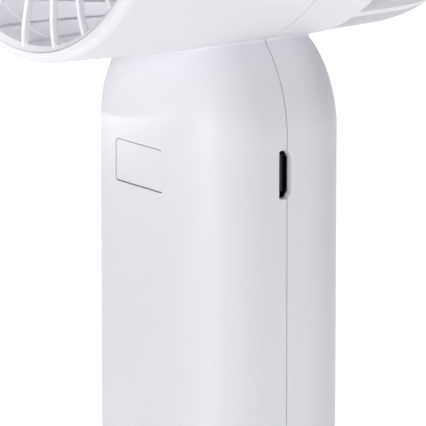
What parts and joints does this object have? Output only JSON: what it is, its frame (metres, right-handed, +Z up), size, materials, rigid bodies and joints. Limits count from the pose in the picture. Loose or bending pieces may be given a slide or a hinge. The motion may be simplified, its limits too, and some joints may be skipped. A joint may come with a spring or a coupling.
{
  "type": "handheld electric fan",
  "caption": "Handheld electric fan: drum-shaped blower head on a flat-sided grip, with a ribbed outlet guard, slotted intake cap, push button and charging port.",
  "frame": {"origin": "centre of the flat base of the grip, in the grip's middle planes", "axes": "+Z up along the grip, -Y towards the air outlet, +X towards the side with the charging port"},
  "size_m": [0.0794, 0.0711, 0.1897],
  "materials": {
    "front_shell": "fine matt",
    "rear_shell": "fine matt",
    "front_guard": "fine matt",
    "guard_badge": "satin",
    "impeller": "satin",
    "rotor_can": "plated",
    "magnet_ring": "sintered ferrite",
    "motor_shaft": "ground",
    "shaft_clip": "dark spring steel",
    "stator_core": "laminated",
    "stator_coils": "enamelled copper wire",
    "bearing_front": "ground",
    "bearing_rear": "ground",
    "motor_base": "die cast",
    "motor_board": "solder mask",
    "motor_screws": "zinc plated",
    "vane_ring": "fine matt",
    "battery_cell": "shrink sleeve",
    "battery_cap": "nickel plated",
    "battery_pads": "foam",
    "battery_cradle": "matt",
    "main_board": "solder mask",
    "board_screws": "zinc plated",
    "switch_body": "moulded",
    "switch_plunger": "moulded",
    "power_button": "fine matt",
    "control_chips": "moulded",
    "boost_inductor": "ferrite",
    "board_capacitors": "ceramic",
    "status_led": "clear resin",
    "usb_shell": "nickel plated",
    "usb_tongue": "moulded",
    "usb_contacts": "gold flash",
    "motor_leads": "insulated wire",
    "battery_leads": "insulated wire",
    "housing_screws": "zinc plated",
    "screw_plugs": "matt"
  },
  "bodies": {
    "housing": {"front_shell": "front_shell", "rear_shell": "rear_shell", "front_guard": "front_guard", "guard_badge": "guard_badge", "stator_core": "stator_core", "stator_coils": "stator_coils", "bearing_front": "bearing_front", "bearing_rear": "bearing_rear", "motor_base": "motor_base", "motor_board": "motor_board", "motor_screws": "motor_screws", "vane_ring": "vane_ring", "battery_cell": "battery_cell", "battery_cap": "battery_cap", "battery_pads": "battery_pads", "battery_cradle": "battery_cradle", "main_board": "main_board", "board_screws": "board_screws", "switch_body": "switch_body", "control_chips": "control_chips", "boost_inductor": "boost_inductor", "board_capacitors": "board_capacitors", "status_led": "status_led", "usb_shell": "usb_shell", "usb_tongue": "usb_tongue", "usb_contacts": "usb_contacts", "motor_leads": "motor_leads", "battery_leads": "battery_leads", "housing_screws": "housing_screws", "screw_plugs": "screw_plugs"},
    "rotor": {"impeller": "impeller", "rotor_can": "rotor_can", "magnet_ring": "magnet_ring", "motor_shaft": "motor_shaft", "shaft_clip": "shaft_clip"},
    "button": {"power_button": "power_button"},
    "plunger": {"switch_plunger": "switch_plunger"}
  },
  "joints": [
    {"name": "impeller_spin", "type": "hinge", "parent": "housing", "child": "rotor", "pos_m": [0, 0, 0.15], "axis": [0, 1, 0], "continuous": true},
    {"name": "button_press", "type": "slide", "parent": "housing", "child": "button", "axis": [0, 1, 0], "range_m": [0, 0.0005], "stiffness_N_per_m": 1500, "springref_m": -0.0004},
    {"name": "plunger_press", "type": "slide", "parent": "housing", "child": "plunger", "axis": [0, 1, 0], "range_m": [0, 0.0005], "stiffness_N_per_m": 300, "springref_m": -0.0003}
  ],
  "couplings": [
    {"joint": "plunger_press", "follows": "button_press", "ratio": 1}
  ]
}
